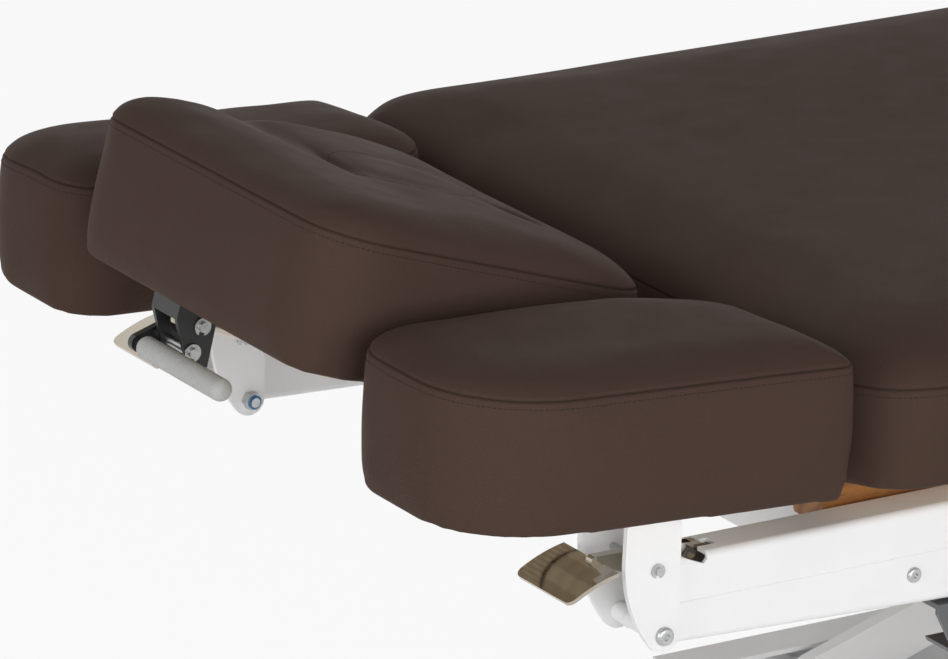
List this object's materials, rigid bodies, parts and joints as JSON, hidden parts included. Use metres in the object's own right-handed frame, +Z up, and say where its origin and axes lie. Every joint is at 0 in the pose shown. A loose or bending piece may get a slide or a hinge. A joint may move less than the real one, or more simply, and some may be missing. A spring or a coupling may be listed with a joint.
{
  "type": "electric massage table",
  "caption": "Electric massage table with brown padded top, tilting headrest, drop armrests, white steel beams and a scissor lift.",
  "frame": {"origin": "on the floor, under the middle of the whole length and width", "axes": "+X from the head end to the foot end, +Y to the left side, +Z up"},
  "size_m": [2.0366, 0.806, 0.7232],
  "materials": {
    "leather": "fine grain brown leatherette",
    "plywood": "raw plywood",
    "beech": "oiled wood",
    "white_paint": "semi-gloss powder coat",
    "grey_paint": "satin powder coat",
    "black_paint": "satin powder coat",
    "steel": "zinc plated",
    "polished": "polished",
    "grey_plastic": "satin",
    "black_plastic": "fine texture",
    "rubber": "matte"
  },
  "bodies": {
    "base": {"base_rail_left": "white_paint", "base_rail_right": "white_paint", "base_cross_head": "white_paint", "base_cross_foot": "white_paint", "foot_head_left": "rubber", "foot_head_right": "rubber", "foot_foot_left": "rubber", "foot_foot_right": "rubber", "drive_body": "black_plastic", "control_box": "black_plastic", "mains_inlet": "black_plastic"},
    "outer_arms": {"outer_scissor": "white_paint"},
    "inner_arms": {"inner_scissor": "white_paint"},
    "frame": {"track_left": "grey_paint", "track_right": "grey_paint", "side_beam_left": "white_paint", "side_beam_right": "white_paint", "beam_screw_left": "steel", "beam_screw_right": "steel", "cross_head": "white_paint", "cross_foot": "white_paint", "wood_rail_left": "beech", "wood_rail_right": "beech", "deck_board": "plywood", "body_cushion": "leather", "ratchet_left": "white_paint", "ratchet_right": "white_paint", "pivot_bolt_left": "steel", "pivot_bolt_right": "steel", "pivot_spacer_left": "white_paint", "pivot_spacer_right": "white_paint", "headrest_stand": "grey_paint"},
    "drive_rod": {"drive_rod": "polished"},
    "foot_bar": {"foot_bar": "black_paint"},
    "headrest": {"headrest_cushion": "leather", "headrest_board": "plywood", "hinge_plate": "grey_paint", "hinge_pin": "steel", "lock_bracket": "black_paint", "lock_pin_upper": "steel", "lock_pin_lower": "steel"},
    "face_plug": {"face_plug": "leather"},
    "release_lever": {"release_lever": "black_paint", "release_grip": "grey_plastic"},
    "gas_cylinder": {"gas_cylinder": "black_plastic"},
    "gas_rod": {"gas_rod": "polished"},
    "armrest_left": {"armrest_cushion_left": "leather", "armrest_board_left": "plywood", "armrest_bracket_left": "white_paint", "latch_pin_left": "steel"},
    "paddle_left": {"release_paddle_left": "polished"},
    "roller_upper_left": {"roller_upper_left": "black_plastic"},
    "roller_lower_left": {"roller_lower_left": "black_plastic"},
    "armrest_right": {"armrest_cushion_right": "leather", "armrest_board_right": "plywood", "armrest_bracket_right": "white_paint", "latch_pin_right": "steel"},
    "paddle_right": {"release_paddle_right": "polished"},
    "roller_upper_right": {"roller_upper_right": "black_plastic"},
    "roller_lower_right": {"roller_lower_right": "black_plastic"}
  },
  "joints": [
    {"name": "lift", "type": "hinge", "parent": "base", "child": "outer_arms", "pos_m": [-0.2717, 0, 0.075], "axis": [0, -1, 0], "range_deg": [0, 21]},
    {"name": "scissor", "type": "hinge", "parent": "outer_arms", "child": "inner_arms", "pos_m": [0.20645, 0, 0.22119], "axis": [0, -1, 0], "range_deg": [-42.2, 0.2]},
    {"name": "level", "type": "hinge", "parent": "inner_arms", "child": "frame", "pos_m": [-0.2717, 0, 0.36737], "axis": [0, -1, 0], "range_deg": [-0.2, 21.2]},
    {"name": "drive", "type": "slide", "parent": "base", "child": "drive_rod", "axis": [-1, 0, 0], "range_m": [-0.001, 0.16929]},
    {"name": "foot_switch", "type": "hinge", "parent": "base", "child": "foot_bar", "pos_m": [-0.4067, 0, 0.075], "axis": [0, 1, 0], "range_deg": [-8, 8], "stiffness_Nm_per_rad": 30, "springref_deg": 0.73},
    {"name": "headrest_tilt", "type": "hinge", "parent": "frame", "child": "headrest", "pos_m": [-0.6917, 0, 0.48837], "axis": [0, 1, 0], "range_deg": [-40, 8]},
    {"name": "gas_swing", "type": "hinge", "parent": "frame", "child": "gas_cylinder", "pos_m": [-0.6617, 0, 0.43837], "axis": [0, 1, 0], "range_deg": [-36.1, 7.62]},
    {"name": "gas_stroke", "type": "slide", "parent": "gas_cylinder", "child": "gas_rod", "axis": [-0.9223, 0, 0.3864], "range_m": [-0.032, 0.0072]},
    {"name": "release", "type": "hinge", "parent": "headrest", "child": "release_lever", "pos_m": [-0.98812, 0, 0.55197], "axis": [0, 1, 0], "range_deg": [0, 10], "stiffness_Nm_per_rad": 1.5, "springref_deg": -2.86},
    {"name": "plug_lift", "type": "slide", "parent": "headrest", "child": "face_plug", "axis": [0.2419, 0, 0.9703], "range_m": [0, 0.13]},
    {"name": "armrest_drop_left", "type": "hinge", "parent": "frame", "child": "armrest_left", "pos_m": [-0.8067, 0, 0.41337], "axis": [0, 1, 0], "range_deg": [-60, 0]},
    {"name": "latch_left", "type": "hinge", "parent": "armrest_left", "child": "paddle_left", "pos_m": [-0.81254, 0, 0.46532], "axis": [0, -1, 0], "range_deg": [0, 8], "stiffness_Nm_per_rad": 1, "springref_deg": -5.73},
    {"name": "spin_upper_left", "type": "hinge", "parent": "outer_arms", "child": "roller_upper_left", "pos_m": [0.6846, 0, 0.36737], "axis": [0, 1, 0], "continuous": true},
    {"name": "spin_lower_left", "type": "hinge", "parent": "inner_arms", "child": "roller_lower_left", "pos_m": [0.6846, 0, 0.075], "axis": [0, 1, 0], "continuous": true},
    {"name": "armrest_drop_right", "type": "hinge", "parent": "frame", "child": "armrest_right", "pos_m": [-0.8067, 0, 0.41337], "axis": [0, 1, 0], "range_deg": [-60, 0]},
    {"name": "latch_right", "type": "hinge", "parent": "armrest_right", "child": "paddle_right", "pos_m": [-0.81254, 0, 0.46532], "axis": [0, -1, 0], "range_deg": [0, 8], "stiffness_Nm_per_rad": 1, "springref_deg": -5.73},
    {"name": "spin_upper_right", "type": "hinge", "parent": "outer_arms", "child": "roller_upper_right", "pos_m": [0.6846, 0, 0.36737], "axis": [0, 1, 0], "continuous": true},
    {"name": "spin_lower_right", "type": "hinge", "parent": "inner_arms", "child": "roller_lower_right", "pos_m": [0.6846, 0, 0.075], "axis": [0, 1, 0], "continuous": true}
  ],
  "couplings": [
    {"joint": "scissor", "follows": "lift", "ratio": -2},
    {"joint": "level", "follows": "lift", "ratio": 1},
    {"joint": "drive", "follows": "lift", "m_per_rad": 0.45917},
    {"joint": "gas_swing", "follows": "headrest_tilt", "ratio": 0.89},
    {"joint": "gas_stroke", "follows": "headrest_tilt", "m_per_rad": 0.0444}
  ]
}
